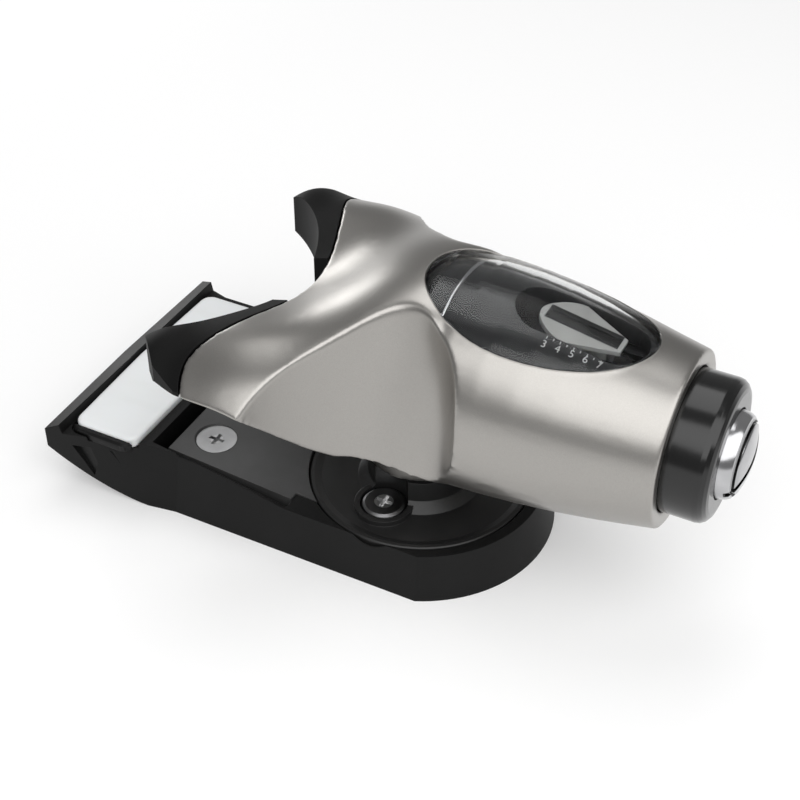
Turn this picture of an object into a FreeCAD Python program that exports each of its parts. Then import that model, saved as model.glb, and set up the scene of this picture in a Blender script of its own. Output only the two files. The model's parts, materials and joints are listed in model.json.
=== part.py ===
import FreeCAD, Part

# Alpine ski binding toe piece with a single vertical pivot. The whole silver housing swings on a
# black base that is screwed to the ski: its two wings hold the boot toe, a spring in its barrel
# centres it, and the slotted screw at the front sets the spring.
#
# Millimetres, +Z up, +X forward (towards the ski tip), +Y left. Lengths along X are measured from
# the pivot axis, heights from the ski's top face. export() moves each piece so that the origin
# ends up at the centre of the four ski screws.

import math
import os

V = FreeCAD.Vector
X_AXIS = V(1, 0, 0)
Y_AXIS = V(0, 1, 0)
Z_AXIS = V(0, 0, 1)

# ---- clearances
running_gap = 0.05          # radial, between turning or sliding pieces and their seats
seat_gap = 0.3              # between pieces that lie beside each other
overrun = 1.0               # cutting tools pass the face that they cut by this much
reach = 120.0               # longer than any cut needs to be

# ---- ski screws
screw_spacing_x = 44.4
screw_spacing_y = 28.6
pivot_x = 24.5              # pivot axis ahead of the screw pattern's centre
screw_thread_r = 2.75
screw_depth = 9.5           # stands below the base, in the ski
screw_tip = 1.0
screw_neck_r = 2.3          # plain neck between the thread and the head
screw_hole_gap = 0.25
rear_head_r = 4.85
rear_head_height = 2.6
rear_head_sink = 0.2
front_head_r = 5.2
front_head_height = 2.2
front_head_round = 0.9
front_seat_depth = 0.6
recess_r = 1.9
recess_width = 0.9
recess_depth = 1.5

# ---- base carrier
base_rear_peak = 1.0        # how far the rear edge's middle stands behind its corners
base_rear_half = 33.7
base_waist_margin = 3.3     # behind the rear screws the sides start to flare
base_side_half = 28.7
base_nose_bulge = 2.7       # the round nose is this much wider than the sides
base_side_inset = 2.6       # the sides lean in by this much up to the rim
rim_z = 11.0
base_sweep_length = 24.2    # rear stretch of the underside, swept up to the lip
lip_bottom_z = 14.2
lip_edge_z = 17.0
lip_crest_z = 18.8
lip_width = 3.4
lip_step = 0.6
deck_z = 16.4
rail_level_x = -21.6
pocket_floor_z = 3.5
# hollows under the flared rear corners: distance from the rear edge, length, height
corner_hollows = [(6.0, 7.0, 8.0), (15.0, 12.0, 10.5)]
hollow_depth = 1.8
hollow_drop = 3.0
flank_length = 27.0         # long thin facet below the plate's side
flank_height = 5.0
flank_depth = 1.4

# ---- friction pad
pad_thickness = 2.6
pad_top_z = 17.9
pad_rear_margin = 4.5       # behind the pad, to the base's rear edge
pad_length = 17.1
pad_half = 30.6
pad_corner_r = 3.0
pad_bevel = 0.5
pad_deck_margin = 1.6       # deck ahead of the pad

# ---- mounting plate and swivel disc
plate_rear_margin = 5.1     # behind the plate, to the pad
plate_overhang = 7.8        # behind the rear screws
plate_half = 22.8
plate_rear_z = 13.6
plate_front_z = 10.8
plate_front_half = 20.5
plate_gap_rear = 2.4
disc_r = 25.8
disc_top_z = 10.2
disc_rim_width = 1.1
disc_rim_height = 0.6
disc_boss_r = 12.4
disc_boss_foot_r = 14.6
disc_boss_z = 17.6
disc_edge_bevel = 1.6
collar_wall = 1.3
collar_height = 1.4

# ---- pivot
post_r = 6.0
post_flange_r = 11.5
post_flange_height = 2.6
post_top_z = 52.8
cam_flat_x = 4.2
cam_bottom_z = 35.0
washer_thickness = 1.0
washer_r = 11.5
bush_wall = 1.5
circlip_thickness = 1.0
circlip_groove = 0.7
circlip_reach = 2.4
circlip_opening = 3.0

# ---- barrel
barrel_z = 43.5
mouth_x = 60.0
# distance forward, outer radius, height of the section's centre above the bore's axis
barrel_sections = [(-4.0, 22.6, 0.9), (5.0, 24.9, 1.2), (14.0, 25.2, 1.2), (22.0, 24.8, 1.1),
                   (30.0, 24.1, 0.9), (38.0, 23.1, 0.6), (46.0, 21.8, 0.3), (53.0, 20.5, 0.1),
                   (mouth_x, 19.2, 0.0)]
piston_bore_r = 12.0
piston_bore_rear_x = -9.0
drum_seat_x = 18.0
drum_bore_r = 15.75
hub_r = 13.0

# ---- wings
# the silver's rear edge in plan, from the middle plane out to the rim
rear_edge = [(-27.0, 0.0), (-28.0, 9.0), (-31.2, 19.0), (-34.8, 28.0), (-37.0, 35.5),
             (-35.8, 40.5), (-31.5, 45.0)]
# station, top on the centre line, shoulder (y, z), rim (y, z), keel (y, z)
wing_sections = [
    (-54.0, 45.5, (25.0, 49.6), (41.5, 46.8), (22.0, 33.0)),
    (-40.0, 50.6, (25.5, 55.8), (41.8, 50.2), (23.0, 33.2)),
    (-28.0, 54.6, (26.0, 57.8), (42.2, 49.6), (24.0, 33.5)),
    (-17.0, 60.4, (26.5, 58.8), (42.2, 47.4), (24.2, 30.5)),
    (-7.0, 66.2, (21.0, 62.6), (42.0, 43.5), (24.0, 30.0)),
    (4.0, 69.4, (14.5, 66.8), (38.0, 41.0), (22.0, 29.0)),
    (12.0, 69.4, (14.5, 65.0), (30.0, 41.0), (20.0, 28.0)),
    (19.0, 67.0, (14.0, 62.0), (26.0, 41.0), (18.0, 28.0)),
]
# leading edge of the wing and foot of the flank below it: the side scoop's inner wall
scoop_top = [(-22.5, 48.0), (-14.3, 30.0), (-6.0, 20.0), (4.4, 12.9), (12.0, 15.1),
             (17.8, 20.5), (19.6, 40.0)]
scoop_foot = [(-22.5, 48.0), (-15.0, 30.0), (-7.0, 23.6), (4.4, 20.8), (12.0, 20.0),
              (18.0, 24.0), (19.6, 40.0)]
scoop_top_z = 68.0
scoop_foot_z = 30.0

# ---- boot toe liners
boot_toe_r = 34.7
boot_centre_x = -65.6
liner_inner_y = 9.0
liner_tip_y = 31.2
liner_outer_y = 41.4
liner_nose_x = 7.0          # the outer side starts this far ahead of the tip
liner_nose_y = 2.5
liner_root_x = -20.0
liner_rim_x = -37.0
liner_low = (36.5, 49.0, 43.5)      # underside's height at the middle, at the rim and at the tip
peg_r = 2.5
peg_depth = 6.0
peg_y = 25.0
peg_z = 46.5
peg_face_x = -33.6          # rear edge at the peg
peg_root = 2.0

# ---- window
window_widest_x = 23.2
window_front_length = 28.8  # from the widest place
window_rear_length = 21.4
window_half_width = 15.7
window_floor = 8.0          # the opening is cut down to here, above the bore's axis
lens_thickness = 1.8
insert_gap = 0.6            # under the lens
insert_floor = 12.5         # the insert's underside, above the bore's axis

# ---- spring and its adjuster
piston_gap = 1.9            # lets the cam's corners pass when the housing swings by 30 degrees
piston_length = 10.0
spigot_r = 5.8
spigot_length = 4.0
spring_mean_r = 8.6
spring_wire_r = 1.6
spring_turns = 4.5
drum_front_x = 52.0
drum_wall = 1.4
nut_rear_x = 35.0
nut_length = 8.0
screw_r = 5.0
screw_rear_x = 30.0
screw_bevel = 0.8
adjuster_travel = 4.5
stem_width = 4.0
stem_margin = 1.0
passage_margin = 0.6        # at the ends of the pointer's travel
stem_seat_depth = 3.0
pointer_width = 13.2
pointer_nose_width = 4.4
pointer_length = 18.5
pointer_tail = 12.4         # behind the stem's middle
pointer_thickness = 1.0
pointer_widest = 0.42       # share of the length, from the tail
pointer_groove_length = 16.0
pointer_groove_width = 3.2
pointer_groove_depth = 0.5
pointer_groove_margin = 1.0 # at the nose
neck_r = 7.2
collar_length = 1.5
ring_r = 15.5
ring_front_x = 69.6
ring_rear_x = 57.1
ring_edge_r = 2.6
head_r = 9.6
head_seat_x = 64.0
head_front_x = 74.4
dome_height = 1.5
slot_width = 1.8
slot_depth = 2.6
slot_tilt = 45.0            # degrees about the barrel's axis
seal_r = 0.8
seal_groove_depth = 1.7
seal_groove_gap = 0.1

# ---- facets: straight runs that stand for a round edge, a coil's turn and its wire
edge_steps = 4
turn_steps = 12
wire_sides = 6

# ---- worked out from the sizes above
base_nose_r = base_side_half + base_nose_bulge
rear_screw_x = -pivot_x - screw_spacing_x / 2
front_screw_x = -pivot_x + screw_spacing_x / 2
plate_rear_x = rear_screw_x - plate_overhang
pad_front_x = plate_rear_x - plate_rear_margin
pad_rear_x = pad_front_x - pad_length
base_rear_x = pad_rear_x - pad_rear_margin
base_waist_x = rear_screw_x - base_waist_margin
underside_flat_x = base_rear_x + base_sweep_length
deck_front_x = pad_front_x + pad_deck_margin
screw_half_y = screw_spacing_y / 2
screw_hole_r = screw_thread_r + screw_hole_gap
front_seat_z = disc_top_z - front_seat_depth
washer_z = disc_boss_z + running_gap
hub_z = washer_z + washer_thickness + running_gap
bush_top_z = barrel_z - piston_bore_r - circlip_thickness - 2 * seat_gap
circlip_z = bush_top_z + 2 * running_gap
piston_rear_x = cam_flat_x + piston_gap
piston_seat_x = piston_rear_x + piston_length
spring_rear_x = piston_seat_x + seat_gap
spring_front_x = nut_rear_x - seat_gap
drum_r = drum_bore_r - running_gap
drum_inner_r = drum_r - drum_wall
stem_foot_z = barrel_z + drum_inner_r - stem_seat_depth
stem_middle_x = nut_rear_x + nut_length / 2
seal_x = (ring_rear_x + head_seat_x) / 2
clip_x = ring_rear_x - 3 * running_gap - washer_thickness - circlip_thickness


# ---- helpers
def cylinder(radius, length, start, axis):
    return Part.makeCylinder(radius, length, start, axis)


def post(radius, low, high, x=0.0, y=0.0):
    return cylinder(radius, high - low, V(x, y, low), Z_AXIS)


def rod(radius, rear, front):
    return cylinder(radius, front - rear, V(rear, 0, barrel_z), X_AXIS)


def tube(outer, inner, rear, front):
    return rod(outer, rear, front).cut(rod(inner, rear, front))


def face_of(points):
    return Part.Face(Part.makePolygon(points + [points[0]]))


def prism(points, vector):
    return face_of(points).extrude(vector)


def block(x0, x1, half, z0, z1):
    return Part.makeBox(x1 - x0, 2 * half, z1 - z0, V(x0, -half, z0))


def mirrored(shape):
    return shape.mirror(V(0, 0, 0), Y_AXIS)


def both_sides(shape):
    return shape.fuse(mirrored(shape))


def spline(points):
    curve = Part.BSplineCurve()
    curve.interpolate(points)
    return curve.toShape()


def rounded_edge(x, radius, size):
    """A round edge between a side at this radius and a face at x, as (x, radius) points."""
    turns = [math.pi / 2 * i / edge_steps for i in range(edge_steps + 1)]
    return [(x - size + size * math.sin(a), radius - size + size * math.cos(a)) for a in turns]


def revolved(profile):
    """Turn a profile of (x, radius) points about the barrel's axis."""
    points = [V(x, 0, barrel_z + radius) for x, radius in profile]
    return face_of(points).revolve(V(0, 0, barrel_z), X_AXIS, 360)


def turned(profile, x, y):
    """Turn a profile of (radius, z) points about a vertical axis at x, y."""
    points = [V(x + radius, y, z) for radius, z in profile]
    return face_of(points).revolve(V(x, y, 0), Z_AXIS, 360)


def above_plane(low, side, tip):
    """Everything above the plane through three points."""
    normal = (side - low).cross(tip - low)
    if normal.z < 0:
        normal = -normal
    normal.normalize()
    face = Part.makePlane(2 * reach, 2 * reach, V(-reach, -reach, 0), Z_AXIS)
    face.rotate(V(0, 0, 0), Z_AXIS.cross(normal), math.degrees(Z_AXIS.getAngle(normal)))
    face.translate(low)
    return face.extrude(normal * reach)


def at_screws(x, make):
    return [make(x, side * screw_half_y) for side in (1, -1)]


def cut_screw_holes(body, x, low, high, radius=screw_hole_r):
    for hole in at_screws(x, lambda x, y: post(radius, low, high, x, y)):
        body = body.cut(hole)
    return body


# ---- base
def base_outline(z, inset):
    """Plan of the carrier: a peaked rear edge, flared sides and a round nose about the pivot."""
    nose = base_nose_r - inset
    side = base_side_half - inset
    corner_x = math.sqrt(nose ** 2 - side ** 2)
    left = [V(corner_x, side, z), V(base_waist_x, side, z), V(base_rear_x, base_rear_half, z)]
    edges = [Part.makeLine(left[0], left[1]), Part.makeLine(left[1], left[2])]
    peak = V(base_rear_x - base_rear_peak, 0, z)
    right = [V(p.x, -p.y, z) for p in left]
    edges += [Part.makeLine(left[2], peak), Part.makeLine(peak, right[2])]
    edges += [Part.makeLine(right[2], right[1]), Part.makeLine(right[1], right[0])]
    edges.append(Part.Arc(right[0], V(nose, 0, z), left[0]).toShape())
    return Part.Wire(edges)


def base_side_profile():
    """Side view: flat on the ski, swept up to the rear lip, deck for the pad, sloping rails."""
    wide = base_rear_half + overrun
    rear = base_rear_x - base_rear_peak - overrun
    front = base_nose_r + overrun
    crest_x = base_rear_x + lip_width
    slope = (lip_crest_z - lip_edge_z) / lip_width
    low = [V(front, -wide, 0), V(underside_flat_x, -wide, 0)]
    sweep_mid = V(underside_flat_x - base_sweep_length * 0.56, -wide, lip_bottom_z * 0.32)
    sweep_end = V(rear, -wide, lip_bottom_z)
    top = [sweep_end, V(rear, -wide, lip_edge_z - slope * base_rear_peak),
           V(crest_x, -wide, lip_crest_z), V(crest_x + lip_step, -wide, deck_z),
           V(deck_front_x, -wide, deck_z), V(rail_level_x, -wide, rim_z),
           V(front, -wide, rim_z), low[0]]
    edges = [Part.makeLine(low[0], low[1]), Part.Arc(low[1], sweep_mid, sweep_end).toShape()]
    edges += [Part.makeLine(top[i], top[i + 1]) for i in range(len(top) - 1)]
    return Part.Face(Part.Wire(edges)).extrude(V(0, 2 * wide, 0))


def plate_pocket(gap_rear, gap, z0, z1):
    """Room in the carrier for the plate and disc; with no gaps it is the plate's own plan."""
    rear = block(plate_rear_x - gap_rear, rail_level_x + gap, plate_half + gap_rear, z0, z1)
    front = block(rail_level_x - overrun, 0, plate_front_half + gap, z0, z1)
    return rear.fuse(front)


def side_hollow(start, length, height, depth):
    """Three-cornered hollow in the carrier's side, from this far ahead of its rear edge."""
    share = min(1.0, start / (base_waist_x - base_rear_x))
    side = base_rear_half + (base_side_half - base_rear_half) * share + overrun
    top_z = deck_z - hollow_drop - (deck_z - rim_z) * max(0.0, share - 0.5)
    x = base_rear_x + start
    points = [V(x, side, top_z), V(x + length, side, top_z),
              V(x + length * 0.7, side, top_z - height)]
    return prism(points, V(0, -overrun - depth, 0))


def base_carrier():
    top_z = lip_crest_z + overrun
    lean = base_side_inset * top_z / rim_z
    body = Part.makeLoft([base_outline(0, 0), base_outline(top_z, lean)], True, True)
    body = body.common(base_side_profile())
    body = body.cut(plate_pocket(plate_gap_rear, seat_gap, pocket_floor_z, top_z))
    body = body.cut(post(disc_r + 2 * seat_gap, pocket_floor_z, top_z))
    body = body.cut(pad_solid(seat_gap, pad_top_z - pad_thickness, top_z))
    body = body.cut(post(post_flange_r + seat_gap, -overrun, pocket_floor_z + overrun))
    for x in (rear_screw_x, front_screw_x):
        body = cut_screw_holes(body, x, -overrun, rim_z)
    for start, length, height in corner_hollows:
        body = body.cut(both_sides(side_hollow(start, length, height, hollow_depth)))
    flank_start = base_waist_x - base_rear_x
    return body.cut(both_sides(side_hollow(flank_start, flank_length, flank_height, flank_depth)))


def pad_solid(grow, z0, z1):
    """The pad's plan, grown by a gap: rear edge peaked like the lip, corners rounded."""
    rear = pad_rear_x - grow
    front = pad_front_x + grow
    half = pad_half + grow
    peak = V(rear - base_rear_peak * pad_half / base_rear_half, 0, z0)
    points = [V(front, half, z0), V(rear, half, z0), peak, V(rear, -half, z0), V(front, -half, z0)]
    body = prism(points, V(0, 0, z1 - z0))
    corners = [e for e in body.Edges if e.BoundBox.ZLength > (z1 - z0) / 2
               and abs(e.BoundBox.Center.y) > pad_half / 2]
    return body.makeFillet(pad_corner_r, corners)


def friction_pad():
    body = pad_solid(0, pad_top_z - pad_thickness, pad_top_z)
    rim = [e for e in body.Edges if e.BoundBox.ZMin > pad_top_z - pad_thickness / 2]
    return body.makeChamfer(pad_bevel, rim)


def countersink(x, y, top_z):
    """Room for a flat-headed screw: a cone under a short straight rim."""
    mouth_r = rear_head_r + screw_hole_gap
    cone = Part.makeCone(screw_hole_r, mouth_r, rear_head_height, V(x, y, top_z - rear_head_height),
                         Z_AXIS)
    return cone.fuse(post(mouth_r, top_z, top_z + rear_head_height, x, y))


def plate_top_at(x):
    share = (x - plate_rear_x) / (-disc_r * 0.6 - plate_rear_x)
    return plate_rear_z + (plate_front_z - plate_rear_z) * share


def mounting_plate():
    body = plate_pocket(0, 0, pocket_floor_z, plate_rear_z + overrun)
    low = V(plate_rear_x, 0, plate_rear_z)
    body = body.cut(above_plane(low, low + Y_AXIS * plate_half, V(0, 0, plate_top_at(0))))
    body = body.cut(post(disc_r + seat_gap, 0, plate_rear_z + overrun))
    top = plate_top_at(rear_screw_x)
    for sink in at_screws(rear_screw_x, lambda x, y: countersink(x, y, top)):
        body = body.cut(sink)
    return cut_screw_holes(body, rear_screw_x, 0, plate_rear_z)


def swivel_disc():
    """Round track under the housing, with a raised rim, a flared boss and two screw collars."""
    rim_top = disc_top_z + disc_rim_height
    rim_r = disc_r - disc_rim_width
    profile = [(0, pocket_floor_z), (disc_r, pocket_floor_z), (disc_r, rim_top - disc_rim_height / 2),
               (disc_r - disc_rim_height / 2, rim_top), (rim_r, rim_top),
               (rim_r - disc_edge_bevel, disc_top_z), (disc_boss_foot_r, disc_top_z),
               (disc_boss_r, disc_top_z + disc_boss_foot_r - disc_boss_r),
               (disc_boss_r, disc_boss_z), (0, disc_boss_z)]
    body = turned(profile, 0, 0)
    seat_r = front_head_r + screw_hole_gap
    collar_top = disc_top_z + collar_height
    for collar in at_screws(front_screw_x, lambda x, y: post(seat_r + collar_wall, disc_top_z,
                                                             collar_top, x, y)):
        body = body.fuse(collar)
    body = cut_screw_holes(body, front_screw_x, 0, disc_boss_z)
    body = cut_screw_holes(body, front_screw_x, front_seat_z, disc_boss_z + overrun, seat_r)
    return body.cut(post(post_r + running_gap, 0, disc_boss_z + overrun)).removeSplitter()


def driver_recess(x, y, top_z):
    """Cross recess for the driver."""
    low = V(x, y, top_z - recess_depth)
    half = recess_width / 2
    arm = Part.makeBox(2 * recess_r, recess_width, recess_depth, low - V(recess_r, half, 0))
    other = Part.makeBox(recess_width, 2 * recess_r, recess_depth, low - V(half, recess_r, 0))
    return arm.fuse(other)


def screw_stem(head_z):
    """Tip, thread and neck of a ski screw, as a half profile up to the underside of its head."""
    return [(0, -screw_depth), (screw_thread_r - screw_tip, -screw_depth),
            (screw_thread_r, screw_tip - screw_depth), (screw_thread_r, -seat_gap),
            (screw_neck_r, -seat_gap), (screw_neck_r, head_z)]


def flat_head_screw(x, y):
    top = plate_top_at(x) - rear_head_sink
    profile = screw_stem(top - rear_head_height) + [(rear_head_r, top), (0, top)]
    return turned(profile, x, y).cut(driver_recess(x, y, top))


def pan_head_screw(x, y):
    top = front_seat_z + front_head_height
    middle = top - front_head_round * 0.4
    profile = screw_stem(front_seat_z) + [
        (front_head_r, front_seat_z), (front_head_r, top - front_head_round),
        (front_head_r - front_head_round * 0.4, middle), (front_head_r - front_head_round, top),
        (0, top)]
    return turned(profile, x, y).cut(driver_recess(x, y, top))


# ---- pivot
def pivot_post():
    """Flanged post with a flat for the spring's piston and a groove for its clip."""
    foot_z = pocket_floor_z - post_flange_height
    body = post(post_r, foot_z, post_top_z).fuse(post(post_flange_r, foot_z, pocket_floor_z))
    flat = Part.makeBox(post_r, 4 * post_r, post_top_z, V(cam_flat_x, -2 * post_r, cam_bottom_z))
    groove = post(post_r + overrun, circlip_z, circlip_z + circlip_thickness)
    body = body.cut(flat).cut(groove.cut(post(post_r - circlip_groove, 0, post_top_z)))
    return body.removeSplitter()


def thrust_washer():
    body = post(washer_r, washer_z, washer_z + washer_thickness)
    return body.cut(post(post_r + running_gap, 0, post_top_z))


def pivot_bush():
    return post(post_r + bush_wall, hub_z, bush_top_z).cut(post(post_r + running_gap, 0, post_top_z))


def split_clip(inner, outer):
    """Open spring ring in the XY plane."""
    ring = post(outer, 0, circlip_thickness).cut(post(inner, -overrun, circlip_thickness + overrun))
    half = circlip_opening / 2
    return ring.cut(block(0, outer + overrun, half, -overrun, circlip_thickness + overrun))


def pivot_circlip():
    clip = split_clip(post_r - circlip_groove + running_gap, post_r + circlip_reach)
    clip.translate(V(0, 0, circlip_z))
    return clip


# ---- housing
def barrel_solid(wall):
    """The barrel's outside, or its offset inwards by a wall."""
    wires = [Part.Wire(Part.makeCircle(radius - wall, V(x, 0, barrel_z + rise), X_AXIS))
             for x, radius, rise in barrel_sections]
    return Part.makeLoft(wires, True, True)


def wing_section(x, top_z, shoulder, rim, keel):
    left = [V(x, rim[0], rim[1]), V(x, shoulder[0], shoulder[1])]
    right = [V(p.x, -p.y, p.z) for p in left]
    crown = spline([left[0], left[1], V(x, 0, top_z), right[1], right[0]])
    keel_right = V(x, -keel[0], keel[1])
    keel_left = V(x, keel[0], keel[1])
    lower = [Part.makeLine(right[0], keel_right), Part.makeLine(keel_right, keel_left),
             Part.makeLine(keel_left, left[0])]
    return Part.Wire([crown] + lower)


def wings():
    return Part.makeLoft([wing_section(*s) for s in wing_sections], True, False)


def scoop_path(z):
    """The scoop's inner wall is ruled between its foot and its top: its path at height z."""
    share = (z - scoop_foot_z) / (scoop_top_z - scoop_foot_z)
    return [(a[0] + (b[0] - a[0]) * share, a[1] + (b[1] - a[1]) * share)
            for a, b in zip(scoop_foot, scoop_top)]


def scoop_wire(z, side):
    points = [V(x, side * y, z) for x, y in scoop_path(z)]
    outside = side * reach
    corners = [points[-1], V(points[-1].x, outside, z), V(points[0].x, outside, z), points[0]]
    lines = [Part.makeLine(corners[i], corners[i + 1]) for i in range(3)]
    return Part.Wire([spline(points)] + lines)


def side_scoop(side):
    height = scoop_top_z - scoop_foot_z
    wires = [scoop_wire(scoop_foot_z - height / 2, side), scoop_wire(scoop_top_z + height / 4, side)]
    return Part.makeLoft(wires, True, True)


def behind_rear_edge(gap):
    """Everything behind the wings' rear edge by a gap."""
    left = [V(x - gap, y, 0) for x, y in rear_edge]
    right = [V(p.x, -p.y, 0) for p in left[1:]]
    curve = spline(right[::-1] + left)
    corners = [left[-1], V(-reach, left[-1].y, 0), V(-reach, right[-1].y, 0), right[-1]]
    lines = [Part.makeLine(corners[i], corners[i + 1]) for i in range(3)]
    return Part.Face(Part.Wire([curve] + lines)).extrude(V(0, 0, reach))


def window_prism(shrink):
    """Egg-shaped opening on top of the barrel, blunter towards the rear."""
    quarter = math.pi / 2
    halves = [(window_front_length, -quarter), (window_rear_length, quarter)]
    edges = []
    for length, start in halves:
        oval = Part.Ellipse(V(0, 0, 0), length - shrink, window_half_width - shrink)
        edges.append(Part.ArcOfEllipse(oval, start, start + math.pi).toShape())
    body = Part.Face(Part.Wire(edges)).extrude(V(0, 0, reach))
    body.translate(V(window_widest_x, 0, barrel_z + window_floor))
    return body


def peg_at(side, length, radius):
    start = V(peg_face_x - peg_root, side * peg_y, peg_z)
    return cylinder(radius, length + peg_root, start, X_AXIS)


def housing_shell():
    body = wings().fuse(barrel_solid(0))
    for side in (1, -1):
        body = body.cut(side_scoop(side))
    body = body.cut(behind_rear_edge(0))
    body = body.fuse(post(hub_r, hub_z, barrel_z))
    body = body.cut(rod(piston_bore_r, piston_bore_rear_x, drum_seat_x + overrun))
    body = body.cut(rod(drum_bore_r, drum_seat_x, mouth_x + overrun))
    body = body.cut(post(post_r + bush_wall + running_gap, 0, barrel_z))
    body = body.cut(post(post_r + circlip_reach + 2 * seat_gap, bush_top_z, barrel_z))
    body = body.cut(window_prism(0))
    for side in (1, -1):
        body = body.cut(peg_at(side, peg_depth, peg_r + running_gap))
    return body.removeSplitter()


def window_lens():
    return barrel_solid(0).cut(barrel_solid(lens_thickness)).common(window_prism(2 * running_gap))


def wing_liner(side):
    """Black toe liner: fills from the wing's rear edge to the boot toe, with a blunt tip."""
    tip_x = boot_centre_x + math.sqrt(boot_toe_r ** 2 - liner_tip_y ** 2)
    outline = [V(liner_root_x, liner_inner_y, 0), V(tip_x, liner_inner_y, 0),
               V(tip_x, liner_tip_y, 0), V(tip_x + liner_nose_x, liner_outer_y - liner_nose_y, 0),
               V(liner_rim_x, liner_outer_y, 0), V(liner_root_x, liner_outer_y, 0)]
    body = prism(outline, V(0, 0, reach)).common(wings())
    body = body.cut(post(boot_toe_r, -overrun, reach + overrun, boot_centre_x, 0))
    body = body.common(behind_rear_edge(seat_gap))
    places = [(rear_edge[0][0], liner_inner_y), (liner_rim_x, liner_outer_y), (tip_x, liner_tip_y)]
    body = body.common(above_plane(*[V(x, y, z) for (x, y), z in zip(places, liner_low)]))
    body = body.fuse(peg_at(1, peg_depth - overrun, peg_r))
    return body if side > 0 else mirrored(body)


# ---- spring train
def spring_piston():
    body = rod(piston_bore_r - running_gap, piston_rear_x, piston_seat_x)
    return body.fuse(rod(spigot_r, piston_seat_x, piston_seat_x + spigot_length)).removeSplitter()


def release_spring():
    """Coil of round wire, as a ruled loft through sections along its turns."""
    rear = spring_rear_x + spring_wire_r
    length = spring_front_x - spring_wire_r - rear
    count = int(spring_turns * turn_steps)
    sections = []
    for i in range(count + 1):
        turn = 2 * math.pi * spring_turns * i / count
        out = V(0, math.cos(turn), math.sin(turn))
        centre = V(rear + length * i / count, 0, barrel_z) + out * spring_mean_r
        angles = [2 * math.pi * j / wire_sides for j in range(wire_sides)]
        ring = [centre + (out * math.cos(a) + X_AXIS * math.sin(a)) * spring_wire_r for a in angles]
        sections.append(Part.makePolygon(ring + [ring[0]]))
    return Part.makeLoft(sections, True, True)


def stem_slot():
    """Slot along which the pointer's stem travels, upwards from the axis."""
    slot_rear = nut_rear_x - adjuster_travel - stem_margin
    slot_front = nut_rear_x + nut_length + adjuster_travel + stem_margin
    return block(slot_rear, slot_front, stem_width / 2 + seat_gap, barrel_z, reach)


def spring_drum():
    return tube(drum_r, drum_inner_r, drum_seat_x + seat_gap, drum_front_x).cut(stem_slot())


def stem(top_z):
    """The pointer's stem, from its seat in the nut up through the drum's slot."""
    rear = nut_rear_x + stem_margin
    return block(rear, rear + nut_length - 2 * stem_margin, stem_width / 2, stem_foot_z, top_z)


def adjuster_nut():
    body = rod(drum_inner_r - running_gap, nut_rear_x, nut_rear_x + nut_length)
    return body.cut(rod(screw_r + running_gap, 0, mouth_x)).cut(stem(reach))


def barrel_top_at(x):
    """Height of the barrel's top line, straight between its sections."""
    for rear, front in zip(barrel_sections, barrel_sections[1:]):
        if rear[0] <= x <= front[0]:
            share = (x - rear[0]) / (front[0] - rear[0])
            tops = [radius + rise for _, radius, rise in (rear, front)]
            return barrel_z + tops[0] + (tops[1] - tops[0]) * share
    raise ValueError("the barrel has no section here")


def pointer_slope():
    """Fall of the barrel's top line per millimetre, over the pointer's length."""
    half = pointer_length / 2
    fall = barrel_top_at(stem_middle_x - half) - barrel_top_at(stem_middle_x + half)
    return fall / pointer_length


def pointer_top_z():
    """Height of the pointer's top face at the stem, clear of the lens over its whole travel."""
    lens_r = barrel_top_at(stem_middle_x) - barrel_z - lens_thickness
    sagitta = lens_r - math.sqrt(lens_r ** 2 - (pointer_width / 2) ** 2)
    return barrel_z + lens_r - sagitta - adjuster_travel * pointer_slope() - seat_gap


def tilted(shape):
    """Lay a flat shape, drawn about the stem's middle, parallel to the barrel's top line."""
    shape.rotate(V(0, 0, 0), Y_AXIS, math.degrees(math.atan(pointer_slope())))
    shape.translate(V(stem_middle_x, 0, pointer_top_z()))
    return shape


def pointer_plate():
    """Leaf-shaped plate with a groove along its middle, its top face at z = 0."""
    base_z = -pointer_thickness
    half = pointer_width / 2
    nose_x = pointer_length - pointer_tail
    widest_x = pointer_length * pointer_widest - pointer_tail
    shoulder_x = pointer_length * pointer_widest / 3 - pointer_tail
    nose = [V(nose_x, side * pointer_nose_width / 2, base_z) for side in (1, -1)]
    widest = [V(widest_x, side * half, base_z) for side in (1, -1)]
    shoulder = [V(shoulder_x, side * half * 2 / 3, base_z) for side in (1, -1)]
    round_tail = spline([widest[0], shoulder[0], V(-pointer_tail, 0, base_z), shoulder[1], widest[1]])
    edges = [round_tail, Part.makeLine(widest[1], nose[1]), Part.makeLine(nose[1], nose[0]),
             Part.makeLine(nose[0], widest[0])]
    plate = Part.Face(Part.Wire(edges)).extrude(V(0, 0, pointer_thickness))
    groove_front = nose_x - pointer_groove_margin
    groove = block(groove_front - pointer_groove_length, groove_front, pointer_groove_width / 2,
                   -pointer_groove_depth, overrun)
    return plate.cut(groove)


def tension_indicator():
    """Pointer that rides on the nut and shows in the window through the drum's slot."""
    under_plate = block(-nut_length, nut_length, stem_width, -reach, -pointer_thickness / 2)
    upright = stem(reach).common(tilted(under_plate))
    return tilted(pointer_plate()).fuse(upright).removeSplitter()


def pointer_passage():
    """Long opening in the insert, in which the pointer travels."""
    half = pointer_width / 2 + seat_gap
    rear = stem_middle_x - pointer_tail - adjuster_travel - passage_margin + half
    front = stem_middle_x + pointer_length - pointer_tail + adjuster_travel + passage_margin - half
    body = block(rear, front, half, barrel_z, reach)
    for x in (rear, front):
        body = body.fuse(post(half, barrel_z, reach, x))
    return body


def scale_insert():
    """Dark insert that fills the window under the lens, round the pointer's passage."""
    body = barrel_solid(lens_thickness + insert_gap).common(window_prism(seat_gap))
    body = body.common(block(-reach, reach, reach, barrel_z + insert_floor, reach))
    body = body.cut(rod(drum_bore_r + seat_gap, drum_seat_x, mouth_x))
    return body.cut(pointer_passage()).removeSplitter()


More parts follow.
